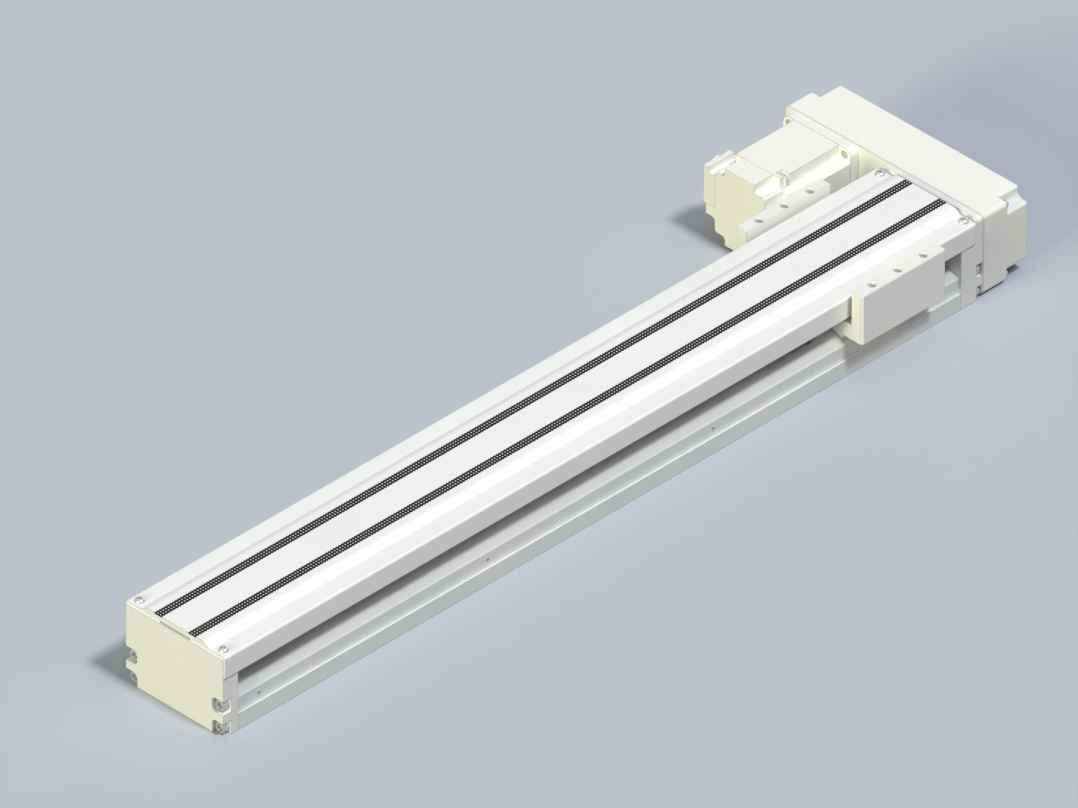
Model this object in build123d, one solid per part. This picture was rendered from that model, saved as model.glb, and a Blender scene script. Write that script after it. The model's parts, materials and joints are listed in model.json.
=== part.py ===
from build123d import *
import os
from math import cos, pi, radians, sin

# Steel base linear module with a ball screw, a belt housing and a folded back servo motor.
# Sizes are in millimetres. The origin is the centre of the rail's bottom face, +X runs along the
# rail towards the belt housing, +Y towards the motor and +Z up. Sections are drawn in Y and Z.

# Clearances
moving_gap = 0.3
running_gap = 0.06
fit_gap = 0.05
ball_gap = 0.1

# Base rail, a ground steel U section
rail_length = 640.0
rail_width = 86.0
foot_height = 11.8
ledge_width = 2.0
wall_height = 22.4
wall_bevel_width = 1.2
wall_bevel_height = 1.7
land_height = 26.9
land_outer_half = 30.3
channel_half = 28.0
channel_floor = 15.0
ball_diameter = 4.0
lower_ball_row = 3.6
ball_row_spacing = 5.0

# Bolt holes of the rail
hole_end_margin = 10.0
base_hole_pitch = 100.0
base_row_spacing = 46.0
base_bolt = 5.0
base_hole_play = 0.5
base_counterbore_diameter = 9.4
base_counterbore_depth = 6.0
side_hole_pitch = 200.0
side_hole_diameter = 2.5
side_hole_depth = 6.0
side_hole_height = 16.6

# End blocks
front_block_thickness = 13.1
rear_block_thickness = 19.3
lip_thickness = 4.8
lip_rise = 3.1
lip_corner_radius = 3.2
block_bolt = 5.0
block_bolt_reach = 10.0
block_bolt_inset = 5.3
block_bolt_heights = (4.3, 21.3)
pocket_width = 9.7
pocket_below_bolt = 4.4
pocket_above_bolt = 5.9
pocket_corner_radius = 3.0
front_pocket_depth = 6.9
rear_pocket_depth = 5.4

# Drive line, with the screw and the motor side by side at one height
screw_diameter = 16.0
axis_spacing = 97.0

# Top cover, an extrusion with a raised middle and two thin skirts
cover_front_overhang = 12.2
cover_rear_overhang = 11.9
skirt_thickness = 1.1
skirt_depth = 13.8
cover_edge_radius = 1.7
cover_flat_thickness = 1.7
flank_foot_half = 30.4
flank_top_half = 25.2
flank_foot_radius = 3.0
flank_top_radius = 8.0
cover_rise = 5.2
relief_half = 13.0
relief_depth = 1.3
strip_centre = 15.0
strip_width = 6.9
strip_thickness = 0.7
cover_bolt = 4.0
cover_bolt_side_inset = 6.0
cover_bolt_reach = 8.0
cover_head_diameter = 7.0
cover_head_height = 2.2
cover_bolt_inset_front = 6.5
cover_bolt_inset_rear = 8.0

# Table, a slab under the cover with an arm on each side of it
carriage_from_rear = 64.6
table_length = 75.6
arm_gap = 2.4
arm_thickness = 9.5
arm_rise = 1.9
slab_bottom = 29.5
slab_top = 41.0
slab_seat = 32.6
seat_play = 0.1
arm_corner_bevel = 1.5
arm_top_bevel = 0.5
table_bolt = 6.0
table_bolt_pitch = 1.0
table_tap_depth = 14.0
table_hole_pitch = 23.0
table_hole_inset = 6.0
table_hole_bevel = 0.6
hump_half = 18.0
hump_top = 51.5
hump_corner_radius = 8.0
table_screw = 5.0
table_screw_half_spacing = 23.0
table_screw_inset = 10.8
table_screw_depth = 8.0

# Slide block with its end caps and seals
slide_inset = 1.1
block_underside = 0.6
nut_web = 3.1
flange_half = 37.7
flange_root_height = 28.9
flange_tip_height = 25.2
cap_length = 13.4
cap_half = 27.5
cap_top = 30.5
seal_thickness = 1.2
seal_half = 26.5
seal_top = 29.5
cap_screw_size = 3.0
cap_screw_half_spacing = 22.3
cap_screw_height = 21.0
cap_screw_reach = 8.0
nipple_half_spacing = 23.8
nipple_height = 27.0
nipple_diameter = 3.0
nipple_head_diameter = 4.2
nipple_length = 4.0

# Ball nut
nut_diameter = 26.0
nut_length = 60.0
nut_screw_rise = 3.0
nut_flange_rim = 3.0
nut_flange_thickness = 6.0
nut_flange_bottom = 33.0
nut_seat_gap = 0.1
nut_screw = 4.0
nut_screw_angles = (30.0, 90.0, 150.0)
nut_screw_reach = 9.0

# Bumpers on the end blocks
bumper_diameter = 7.2
bumper_length = 6.5
bumper_half_spacing = 19.0
bumper_height = 20.4

# Bearings, given as bore, outside diameter and width
front_bearing_bore = 10.0
front_bearing_outside = 22.0
front_bearing_width = 6.0
rear_bearing_bore = 12.0
rear_bearing_outside = 28.0
rear_bearing_width = 8.0
rear_bearing_count = 2
motor_front_bearing_bore = 14.0
motor_front_bearing_outside = 32.0
motor_front_bearing_width = 9.0
motor_rear_bearing_bore = 8.0
motor_rear_bearing_outside = 22.0
motor_rear_bearing_width = 7.0
ring_share = 0.34
shield_thickness = 0.8
front_pocket_wall = 3.6
rear_pocket_wall = 2.3
rear_shoulder_play = 2.0
circlip_thickness = 0.9
circlip_height = 1.8

# Parts on the drive end of the screw
retainer_diameter = 40.0
retainer_thickness = 3.0
retainer_bore = 18.4
retainer_screw = 3.0
retainer_screw_circle = 34.0
retainer_screw_reach = 8.0
collar_diameter = 17.0
collar_length = 5.0
lock_nut_diameter = 21.0
lock_nut_length = 8.0
lock_nut_slots = 4
lock_nut_slot_width = 3.0
lock_nut_slot_depth = 1.6
pulley_seat_diameter = 10.0

# Timing belt drive
belt_pitch = 5.0
pulley_teeth = 20
pitch_line_offset = 0.57
tooth_space_radius = 1.5
belt_width = 15.0
belt_thickness = 1.8
belt_side_play = 1.0
pulley_flange_thickness = 1.5
pulley_flange_rise = 2.8
pulley_gap = 2.2

# Motor plate and belt housing
housing_overhang = 5.0
housing_margin = 0.5
housing_corner_radius = 3.2
plate_edge = 1.0
plate_core = 9.0
housing_depth = 40.5
housing_front_depth = 21.0
housing_wall = 1.6
housing_floor_wall = 2.0
notch_width = 8.35
notch_height = 8.5
notch_inner_radius = 4.3
notch_outer_radius = 2.1
housing_rear_bevel = 1.4
boss_size = 5.4
housing_screw = 3.0
housing_screw_inset = 4.0
housing_screw_reach = 18.0
plate_screw = 5.0
plate_screw_inset = 9.0
plate_screw_drops = (28.3, 9.3)
plate_screw_reach = 8.0
retainer_clearance = 0.8

# Servo motor
motor_square = 60.0
motor_flange_thickness = 7.2
motor_flange_corner_radius = 6.0
motor_bolt = 4.0
motor_bolt_inset = 5.25
motor_hole_diameter = 5.5
motor_hole_relief = 3.2
pilot_diameter = 50.0
pilot_height = 3.0
motor_length = 76.6
body_inset = 0.3
body_notch = 9.9
body_notch_radius = 4.2
encoder_length = 16.4
encoder_step_narrow = 13.0
encoder_step_high = 23.2
encoder_step_wide = 22.0
encoder_step_low = 12.7
encoder_step_radius = 3.0
encoder_edge_bevel = 1.6
encoder_wall = 2.4
encoder_cavity_diameter = 36.0
body_bore = 48.0
stator_bore = 32.6
rotor_diameter = 31.4
core_end_gap = 3.0
shaft_diameter = 14.0
shaft_reach = 30.0
shaft_tail = 7.0
disc_diameter = 28.0
disc_thickness = 1.0
disc_hub_diameter = 12.0
disc_hub_length = 4.0

# Connectors on the motor
plug_width = 10.0
plug_side_stand = 2.0
plug_low = -5.0
plug_high = 23.4
plug_trough_high = 19.4
plug_ridge_width = 4.0
plug_length = 23.0
latch_width = 1.6
latch_rise = 1.7
latch_start = 6.0
latch_end = 12.5
power_start = 3.0
power_length = 4.8
power_reach = 6.8
power_depth = 7.6
power_stand = 1.4
power_sink = 0.7
power_corner_radius = 2.6
power_fin_thickness = 1.4
power_fin_rise = 1.0

# Places that follow from the sizes
rail_front = -rail_length / 2
rail_rear = rail_length / 2
block_front = rail_front - front_block_thickness
block_rear = rail_rear + rear_block_thickness
half_width = rail_width / 2
wall_half = half_width - ledge_width
block_bolt_half_spacing = half_width - block_bolt_inset
cover_bolt_half_spacing = half_width - cover_bolt_side_inset
plate_screw_half_spacing = half_width - plate_screw_inset
slide_bottom = channel_floor + block_underside
nut_bore_radius = nut_diameter / 2 + nut_seat_gap
axis_height = slide_bottom + nut_web + nut_bore_radius
housing_bottom = axis_height - motor_square / 2 - housing_margin
housing_top = axis_height + motor_square / 2 + housing_margin
block_height = housing_top - lip_rise
skirt_bottom = block_height - skirt_depth
cover_top = block_height + cover_rise
cover_half = half_width + skirt_thickness
cover_front = rail_front - cover_front_overhang
cover_rear = rail_rear + cover_rear_overhang
cover_flat = block_height + cover_flat_thickness
carriage_centre = rail_rear - carriage_from_rear
arm_inner = cover_half + arm_gap
arm_outer = arm_inner + arm_thickness
arm_top = cover_top + arm_rise
table_tap_diameter = table_bolt - table_bolt_pitch
table_front = carriage_centre - table_length / 2
table_rear = carriage_centre + table_length / 2
slide_front = table_front + slide_inset
slide_rear = table_rear - slide_inset
cap_front = slide_front - cap_length
cap_rear = slide_rear + cap_length
slide_half = channel_half - moving_gap
ball_plane = channel_half - moving_gap / 2
ball_groove_radius = ball_diameter / 2 + ball_gap
ball_row_heights = [channel_floor + lower_ball_row + row * ball_row_spacing for row in range(2)]
nut_screw_circle = nut_diameter + 2 * nut_screw_rise
nut_flange_diameter = nut_screw_circle + 2 * nut_flange_rim
nut_front = table_front - nut_flange_thickness
front_pocket_end = block_front + front_pocket_wall
front_ring_front = front_pocket_end + circlip_thickness + 2 * fit_gap
front_ring_rear = front_ring_front + front_bearing_width
rear_ring_front = rail_rear + rear_pocket_wall
rear_ring_rear = rear_ring_front + rear_bearing_count * rear_bearing_width
plate_front = block_rear
plate_step = plate_front + plate_edge
plate_rear = plate_step + plate_core
collar_rear = rear_ring_rear + collar_length
lock_nut_rear = collar_rear + lock_nut_length
pulley_front = lock_nut_rear + pulley_gap
pulley_tooth_length = belt_width + 2 * belt_side_play
pulley_length = pulley_tooth_length + 2 * pulley_flange_thickness
pulley_rear = pulley_front + pulley_length
pulley_radius = belt_pitch * pulley_teeth / (2 * pi) - pitch_line_offset
belt_inner_radius = pulley_radius + moving_gap
belt_front = pulley_front + pulley_flange_thickness + belt_side_play
notch_floor = plate_step + housing_front_depth
housing_rear = plate_step + housing_depth
housing_right = -half_width
housing_left = axis_spacing + motor_square / 2 + housing_overhang
housing_width = housing_left - housing_right
housing_height = housing_top - housing_bottom
housing_middle = ((housing_left + housing_right) / 2, (housing_top + housing_bottom) / 2)
motor_flange_front = plate_front - motor_flange_thickness
motor_rear = plate_front - motor_length
body_rear = motor_rear + encoder_length
body_square = motor_square - 2 * body_inset
motor_centre = Pos(axis_spacing, axis_height)


def outline(corners):
    """Face inside a closed outline of (y, z, radius) corners, where radius 0 is a sharp one."""
    points = [(y, z) for y, z, _ in corners]
    radii = [radius for _, _, radius in corners]
    return make_face(FilletPolyline(*points, radius=radii, close=True))


def mirrored(corners):
    """A half outline, followed by its mirror image across the middle plane of the module."""
    return corners + [(-y, z, radius) for y, z, radius in reversed(corners)]


def four_fold(corners):
    """A quarter outline, from the side to the top, repeated in the other three quarters."""
    half = mirrored(corners)
    return half + [(-y, -z, radius) for y, z, radius in half]


def along(section, x_from, x_to):
    """Carry a section drawn in Y and Z along the module from x_from to x_to."""
    return extrude(Plane.YZ.offset(x_from) * section, amount=x_to - x_from, dir=(1, 0, 0))


def rod(diameter, x_from, x_to, y=0.0, z=axis_height):
    """Round bar along X."""
    return along(Pos(y, z) * Circle(diameter / 2), x_from, x_to)


def ring(outside, bore, x_from, x_to, y=0.0, z=axis_height):
    """Round ring along X."""
    return along(Pos(y, z) * (Circle(outside / 2) - Circle(bore / 2)), x_from, x_to)


def upright(diameter, x, y, z_from, z_to):
    """Round bar along Z."""
    return extrude(Plane.XY.offset(z_from) * Pos(x, y) * Circle(diameter / 2), z_to - z_from)


def brick(x_from, x_to, y_from, y_to, z_from, z_to):
    """Rectangular block between two corners."""
    size = (x_to - x_from, y_to - y_from, z_to - z_from)
    corner = (Align.MIN, Align.MIN, Align.MIN)
    return Pos(x_from, y_from, z_from) * Box(*size, align=corner)


def cap_head(size):
    """Head diameter, head height and socket width of a socket head cap screw."""
    return 1.5 * size + 1.0, size, 0.8 * size


def cap_screw(size, reach):
    """Cap screw on its own, with its seat at the origin, its head up and its shank down."""
    head_diameter, head_height, socket = cap_head(size)
    head = extrude(Circle(head_diameter / 2), head_height)
    shank = extrude(Circle(size / 2), -reach)
    hexagon = RegularPolygon(socket / 2, 6, major_radius=False)
    recess = extrude(Plane.XY.offset(head_height) * hexagon, -head_height / 2)
    return head + shank - recess


def button_screw(size, reach, head_diameter, head_height):
    """Button head screw with its seat at the origin, its head up and its shank down."""
    head = extrude(Circle(head_diameter / 2), head_height)
    head = fillet(head.edges().sort_by(Axis.Z)[-1], 0.6 * head_height)
    hexagon = RegularPolygon(0.3 * size, 6, major_radius=False)
    recess = extrude(Plane.XY.offset(head_height) * hexagon, -head_height / 2)
    return head + extrude(Circle(size / 2), -reach) - recess


def facing(x, y, z, direction):
    """Location whose own Z axis points along X, forwards for 1 and backwards for -1."""
    return Location(Plane(origin=(x, y, z), z_dir=(direction, 0, 0)))


def shank_hole(size):
    """Diameter of the hole in which a fastener of this size sits."""
    return size + 2 * fit_gap


def sides(value):
    """The two places on the right and on the left of the middle plane."""
    return (-value, value)


def block_bolt_places():
    """Y and Z of the four bolts that hold an end block to the rail."""
    return [(y, z) for y in sides(block_bolt_half_spacing) for z in block_bolt_heights]


def even_row(pitch):
    """Places along the rail, centred on it, one pitch apart and clear of both ends."""
    count = 1 + int((rail_length - 2 * hole_end_margin) // pitch)
    return [(place - (count - 1) / 2) * pitch for place in range(count)]


def make_base_rail():
    """Rail with its ball grooves, base bolt holes, side holes and end holes."""
    wall_corner = wall_half - wall_bevel_width
    half = [
        (half_width, 0, 0),
        (half_width, foot_height, 0),
        (wall_half, foot_height, 0),
        (wall_half, wall_height, 0),
        (wall_corner, wall_height + wall_bevel_height, 0),
        (land_outer_half, land_height, 0),
        (channel_half, land_height, 0),
        (channel_half, channel_floor, 0),
    ]
    section = outline(mirrored(half))
    for height in ball_row_heights:
        for y in sides(ball_plane):
            section -= Pos(y, height) * Circle(ball_groove_radius)
    rail = along(section, rail_front, rail_rear)
    for x in even_row(base_hole_pitch):
        for y in sides(base_row_spacing / 2):
            rail -= upright(base_bolt + base_hole_play, x, y, 0, channel_floor)
            seat = channel_floor - base_counterbore_depth
            rail -= upright(base_counterbore_diameter, x, y, seat, channel_floor)
    for x in even_row(side_hole_pitch):
        for direction in sides(1):
            mouth = Plane(origin=(x, direction * wall_half, side_hole_height), z_dir=(0, direction, 0))
            rail -= extrude(mouth * Circle(side_hole_diameter / 2), -side_hole_depth)
    for y, z in block_bolt_places():
        hole = shank_hole(block_bolt)
        rail -= rod(hole, rail_front, rail_front + block_bolt_reach, y, z)
        rail -= rod(hole, rail_rear - block_bolt_reach, rail_rear, y, z)
    return rail


def bolt_pocket(x_from, x_to, direction, bolt_height):
    """Pocket open to the side of an end block, in which the head of one block bolt sits."""
    inner = half_width - pocket_width
    bottom = max(bolt_height - pocket_below_bolt, 0)
    floor = -1.0 if bottom < pocket_below_bolt / 2 else bottom
    floor_radius = 0 if floor < 0 else pocket_corner_radius
    top = bolt_height + pocket_above_bolt
    outer = half_width + 1.0
    corners = [
        (direction * inner, floor, floor_radius),
        (direction * outer, floor, 0),
        (direction * outer, top, 0),
        (direction * inner, top, pocket_corner_radius),
    ]
    return along(outline(corners), x_from, x_to)


def cover_bolt_places(x):
    """X and Y of the two cover bolts on one end block."""
    return [(x, y) for y in sides(cover_bolt_half_spacing)]


front_cover_bolt_x = block_front + cover_bolt_inset_front
rear_cover_bolt_x = rail_rear + cover_bolt_inset_rear


def make_front_end_block():
    """Block at the free end of the screw, with its bearing seat."""
    block = brick(block_front, rail_front, -half_width, half_width, 0, block_height)
    seat = block_front + front_pocket_depth
    for y, z in block_bolt_places():
        block -= bolt_pocket(block_front, seat, 1 if y > 0 else -1, z)
        block -= rod(shank_hole(block_bolt), seat, rail_front, y, z)
    for x, y in cover_bolt_places(front_cover_bolt_x):
        hole = shank_hole(cover_bolt)
        block -= upright(hole, x, y, block_height - cover_bolt_reach, block_height)
    return block - rod(front_bearing_outside, front_pocket_end, rail_front)


def make_rear_end_block():
    """Block at the drive end, with a raised lip behind the cover and the fixed bearing seat."""
    block = brick(rail_rear, block_rear, -half_width, half_width, 0, block_height)
    lip = [(half_width, block_height / 2, 0), (half_width, housing_top, lip_corner_radius)]
    block += along(outline(mirrored(lip)), block_rear - lip_thickness, block_rear)
    seat = block_rear - rear_pocket_depth
    for y, z in block_bolt_places():
        block -= bolt_pocket(seat, block_rear, 1 if y > 0 else -1, z)
        block -= rod(shank_hole(block_bolt), rail_rear, seat, y, z)
    for x, y in cover_bolt_places(rear_cover_bolt_x):
        hole = shank_hole(cover_bolt)
        block -= upright(hole, x, y, block_height - cover_bolt_reach, block_height)
    block -= rod(screw_diameter + 2 * rear_shoulder_play, rail_rear, rear_ring_front)
    block -= rod(rear_bearing_outside, rear_ring_front, block_rear)
    for y, z in retainer_screw_places():
        block -= rod(shank_hole(retainer_screw), block_rear - retainer_screw_reach, block_rear, y, z)
    for y, z in plate_screw_places():
        block -= rod(shank_hole(plate_screw), block_rear - plate_screw_reach, block_rear, y, z)
    return block


def make_block_screws(seat, direction):
    """Four cap screws of one end block, with their heads on the outer side."""
    length = abs(seat - direction * rail_length / 2) + block_bolt_reach
    screw = cap_screw(block_bolt, length - fit_gap)
    return [facing(seat, y, z, direction) * screw for y, z in block_bolt_places()]


def make_top_cover():
    """Cover extrusion with the grooves of the mesh strips and its bolt holes."""
    half = [
        (relief_half, block_height + relief_depth, 0),
        (relief_half, block_height, 0),
        (half_width, block_height, 0),
        (half_width, skirt_bottom, 0),
        (cover_half, skirt_bottom, 0),
        (cover_half, cover_flat, cover_edge_radius),
        (flank_foot_half, cover_flat, flank_foot_radius),
        (flank_top_half, cover_top, flank_top_radius),
    ]
    section = outline(mirrored(half))
    for y in sides(strip_centre):
        section -= Pos(y, cover_top) * Rectangle(strip_width, 2 * strip_thickness)
    cover = along(section, cover_front, cover_rear)
    for x, y in cover_bolt_places(front_cover_bolt_x) + cover_bolt_places(rear_cover_bolt_x):
        cover -= upright(shank_hole(cover_bolt), x, y, block_height, cover_flat)
    return cover


def make_mesh_strip(y):
    """Flat strip that lies flush in its groove of the cover."""
    left, right = y - strip_width / 2, y + strip_width / 2
    return brick(cover_front, cover_rear, left, right, cover_top - strip_thickness, cover_top)


def make_cover_screws():
    """Button head screws on the flats of the cover."""
    reach = cover_flat_thickness + cover_bolt_reach - fit_gap
    screw = button_screw(cover_bolt, reach, cover_head_diameter, cover_head_height)
    places = cover_bolt_places(front_cover_bolt_x) + cover_bolt_places(rear_cover_bolt_x)
    return [Pos(x, y, cover_flat) * screw for x, y in places]


def make_bumpers(x_from, x_to):
    """Two rubber stops on the inner face of an end block."""
    return [rod(bumper_diameter, x_from, x_to, y, bumper_height) for y in sides(bumper_half_spacing)]


def table_hole_places():
    """X and Y of the tapped holes on the arms."""
    steps = (-1, 0, 1)
    rows = sides(arm_outer - table_hole_inset)
    return [(carriage_centre + step * table_hole_pitch, y) for step in steps for y in rows]


def table_screw_places():
    """X and Y of the screws that hold the table on the slide block."""
    ends = (table_front + table_screw_inset, table_rear - table_screw_inset)
    return [(x, y) for x in ends for y in sides(table_screw_half_spacing)]


def nut_screw_places():
    """Y and Z of the screws of the nut flange."""
    radius = nut_screw_circle / 2
    angles = [radians(angle) for angle in nut_screw_angles]
    return [(radius * cos(a), axis_height + radius * sin(a)) for a in angles]


def make_table():
    """Slab with two arms, a hump round the ball nut and all its holes."""
    seat_half = flange_half + seat_play
    half = [
        (seat_half, slab_seat, 0),
        (seat_half, slab_bottom, 0),
        (arm_outer, slab_bottom, 0),
        (arm_outer, arm_top, 0),
        (arm_inner, arm_top, 0),
        (arm_inner, slab_top, 0),
        (hump_half, slab_top, 0),
        (hump_half, hump_top, hump_corner_radius),
    ]
    table = along(outline(mirrored(half)), table_front, table_rear)
    upright_edges = table.edges().filter_by(Axis.Z)
    outer_edges = [edge for edge in upright_edges if abs(abs(edge.center().Y) - arm_outer) < fit_gap]
    table = chamfer(outer_edges, arm_corner_bevel)
    top_edges = table.edges().group_by(Axis.Z)[-1]
    table = chamfer(top_edges, arm_top_bevel)
    table -= rod(2 * nut_bore_radius, table_front, table_rear)
    for x, y in table_hole_places():
        table -= upright(table_tap_diameter, x, y, arm_top - table_tap_depth, arm_top)
        mouth = Pos(x, y, arm_top - table_hole_bevel / 2)
        small, large = table_tap_diameter / 2, table_tap_diameter / 2 + table_hole_bevel
        table -= mouth * Cone(small, large, table_hole_bevel)
    head_diameter, head_height, _ = cap_head(table_screw)
    head_seat = slab_top - head_height
    for x, y in table_screw_places():
        table -= upright(shank_hole(table_screw), x, y, slab_seat, head_seat)
        table -= upright(shank_hole(head_diameter), x, y, head_seat, slab_top)
    for y, z in nut_screw_places():
        table -= rod(shank_hole(nut_screw), table_front, table_front + nut_screw_reach, y, z)
    return table


def make_table_screws():
    """Cap screws sunk into the slab."""
    _, head_height, _ = cap_head(table_screw)
    head_seat = slab_top - head_height
    screw = cap_screw(table_screw, head_seat - slab_seat + table_screw_depth - fit_gap)
    return [Pos(x, y, head_seat) * screw for x, y in table_screw_places()]


def cap_screw_places():
    """Y and Z of the screws that hold an end cap."""
    return [(y, cap_screw_height) for y in sides(cap_screw_half_spacing)]


def make_slide_block():
    """Steel block that runs in the channel, with flanges that reach over the rail's lands."""
    half = [
        (slide_half, slide_bottom, 0),
        (slide_half, flange_root_height, 0),
        (flange_half, flange_tip_height, 0),
        (flange_half, slab_seat, 0),
    ]
    section = outline(mirrored(half)) - Pos(0, axis_height) * Circle(nut_bore_radius)
    for height in ball_row_heights:
        for y in sides(ball_plane):
            section -= Pos(y, height) * Circle(ball_groove_radius)
    block = along(section, slide_front, slide_rear)
    for x, y in table_screw_places():
        block -= upright(shank_hole(table_screw), x, y, slab_seat - table_screw_depth, slab_seat)
    hole = shank_hole(cap_screw_size)
    for y, z in cap_screw_places():
        block -= rod(hole, slide_front, slide_front + cap_screw_reach, y, z)
        block -= rod(hole, slide_rear - cap_screw_reach, slide_rear, y, z)
    return block


def cap_section(half, bottom, top):
    """Outline of an end cap or seal, open round the nut."""
    corners = [(half, bottom, 0), (half, top, 0)]
    radius = nut_bore_radius + moving_gap
    return outline(mirrored(corners)) - Pos(0, axis_height) * Circle(radius)


def make_end_cap(inner, outer):
    """Moulded cap that turns the balls round, with sunk screw heads on its outer side."""
    section = cap_section(cap_half, slide_bottom, cap_top)
    cap = along(section, min(inner, outer), max(inner, outer))
    head_diameter, head_height, _ = cap_head(cap_screw_size)
    head_seat = outer + (head_height if outer < inner else -head_height)
    for y, z in cap_screw_places():
        cap -= rod(shank_hole(head_diameter), min(outer, head_seat), max(outer, head_seat), y, z)
        cap -= rod(shank_hole(cap_screw_size), min(inner, head_seat), max(inner, head_seat), y, z)
    if outer < inner:
        hole = shank_hole(nipple_diameter)
        cap -= rod(hole, outer, outer + nipple_length, nipple_half_spacing, nipple_height)
    return cap


def make_end_seal(inner, outer):
    """Wiper plate in front of an end cap."""
    section = cap_section(seal_half, slide_bottom, seal_top)
    seal = along(section, min(inner, outer), max(inner, outer))
    head_diameter, _, _ = cap_head(cap_screw_size)
    for y, z in cap_screw_places():
        seal -= rod(shank_hole(head_diameter), min(inner, outer), max(inner, outer), y, z)
    if outer < inner:
        hole = shank_hole(nipple_diameter)
        seal -= rod(hole, outer, inner, nipple_half_spacing, nipple_height)
    return seal


def make_cap_screws():
    """Screws through both end caps into the slide block."""
    _, head_height, _ = cap_head(cap_screw_size)
    screw = cap_screw(cap_screw_size, cap_length - head_height + cap_screw_reach - fit_gap)
    screws = []
    for y, z in cap_screw_places():
        screws.append(facing(cap_front + head_height, y, z, -1) * screw)
        screws.append(facing(cap_rear - head_height, y, z, 1) * screw)
    return screws


def make_grease_nipple():
    """Nipple in the front end cap."""
    y, z = nipple_half_spacing, nipple_height
    seal_front = cap_front - seal_thickness
    stem = rod(nipple_diameter, seal_front, cap_front + nipple_length - fit_gap, y, z)
    neck = rod(nipple_head_diameter, seal_front - nipple_length / 2, seal_front, y, z)
    tip = rod(nipple_diameter, seal_front - nipple_length, seal_front - nipple_length / 2, y, z)
    tip = chamfer(tip.edges().sort_by(Axis.X)[0], nipple_diameter / 5)
    return stem + neck + tip


def make_ball_nut():
    """Nut body with a half flange, so that the flange clears the end cap."""
    nut = rod(nut_diameter, table_front, table_front + nut_length)
    flange = Pos(0, axis_height) * Circle(nut_flange_diameter / 2)
    half_size = nut_flange_diameter
    keep_top = Pos(0, nut_flange_bottom + half_size / 2) * Rectangle(half_size, half_size)
    body = Pos(0, axis_height) * Circle(nut_diameter / 2)
    nut += along((flange & keep_top) + body, nut_front, table_front)
    nut -= rod(screw_diameter + 2 * running_gap, nut_front, table_front + nut_length)
    for y, z in nut_screw_places():
        nut -= rod(shank_hole(nut_screw), nut_front, table_front, y, z)
    return nut


def make_nut_screws():
    """Screws of the nut flange."""
    screw = cap_screw(nut_screw, nut_flange_thickness + nut_screw_reach - fit_gap)
    return [facing(nut_front, y, z, -1) * screw for y, z in nut_screw_places()]


def ring_wall(bore, outside):
    """Wall of one ring of a ball bearing."""
    return ring_share * (outside - bore) / 2


def outer_ring(bore, outside, x_from, width, y=0.0):
    """Outer ring of a bearing, with a shield at each face that reaches near the inner ring."""
    x_to = x_from + width
    body = ring(outside, outside - 2 * ring_wall(bore, outside), x_from, x_to, y)
    opening = bore + 2 * ring_wall(bore, outside) + 2 * moving_gap
    body += ring(outside, opening, x_from, x_from + shield_thickness, y)
    return body + ring(outside, opening, x_to - shield_thickness, x_to, y)


def inner_ring(bore, outside, x_from, width, y=0.0):
    """Inner ring of a bearing."""
    return ring(bore + 2 * ring_wall(bore, outside), bore, x_from, x_from + width, y)


def rear_ring_starts():
    """X at which each of the paired bearings starts."""
    return [rear_ring_front + place * rear_bearing_width for place in range(rear_bearing_count)]


def make_ball_screw():
    """Screw core with its journals. Its helical thread is a finish on the round bar."""
    screw = rod(front_bearing_bore, front_pocket_end + fit_gap, front_ring_rear)
    screw += rod(screw_diameter, front_ring_rear, rear_ring_front)
    screw += rod(rear_bearing_bore, rear_ring_front, lock_nut_rear)
    screw += rod(pulley_seat_diameter, lock_nut_rear, pulley_rear)
    return chamfer(screw.edges().sort_by(Axis.X)[-1], screw_diameter / 20)


def make_front_circlip():
    """Snap ring in front of the free bearing."""
    outside = front_bearing_bore + circlip_height
    x_to = front_ring_front
    return ring(outside, front_bearing_bore, x_to - circlip_thickness, x_to)


def make_lock_nut():
    """Round nut with spanner slots that clamps the paired bearings through the collar."""
    nut = ring(lock_nut_diameter, rear_bearing_bore, collar_rear, lock_nut_rear)
    slot = Pos(lock_nut_diameter / 2, 0) * Rectangle(2 * lock_nut_slot_depth, lock_nut_slot_width)
    for place in range(lock_nut_slots):
        turned = Pos(0, axis_height) * Rot(0, 0, place * 360 / lock_nut_slots) * slot
        nut -= along(turned, collar_rear, lock_nut_rear)
    return nut


def retainer_screw_places():
    """Y and Z of the four screws of the bearing retainer."""
    reach = retainer_screw_circle / 2 * cos(radians(45))
    return [(y, axis_height + z) for y in sides(reach) for z in sides(reach)]


def make_bearing_retainer():
    """Flanged ring that holds the outer rings in their seat."""
    x_to = block_rear + retainer_thickness
    retainer = rod(retainer_diameter, block_rear, x_to)
    retainer += rod(rear_bearing_outside - 2 * fit_gap, rear_ring_rear, block_rear)
    retainer -= rod(retainer_bore, rear_ring_rear, x_to)
    for y, z in retainer_screw_places():
        retainer -= rod(shank_hole(retainer_screw), block_rear, x_to, y, z)
    return retainer


def make_retainer_screws():
    """Screws of the bearing retainer."""
    screw = cap_screw(retainer_screw, retainer_thickness + retainer_screw_reach - fit_gap)
    seat = block_rear + retainer_thickness
    return [facing(seat, y, z, 1) * screw for y, z in retainer_screw_places()]


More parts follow.
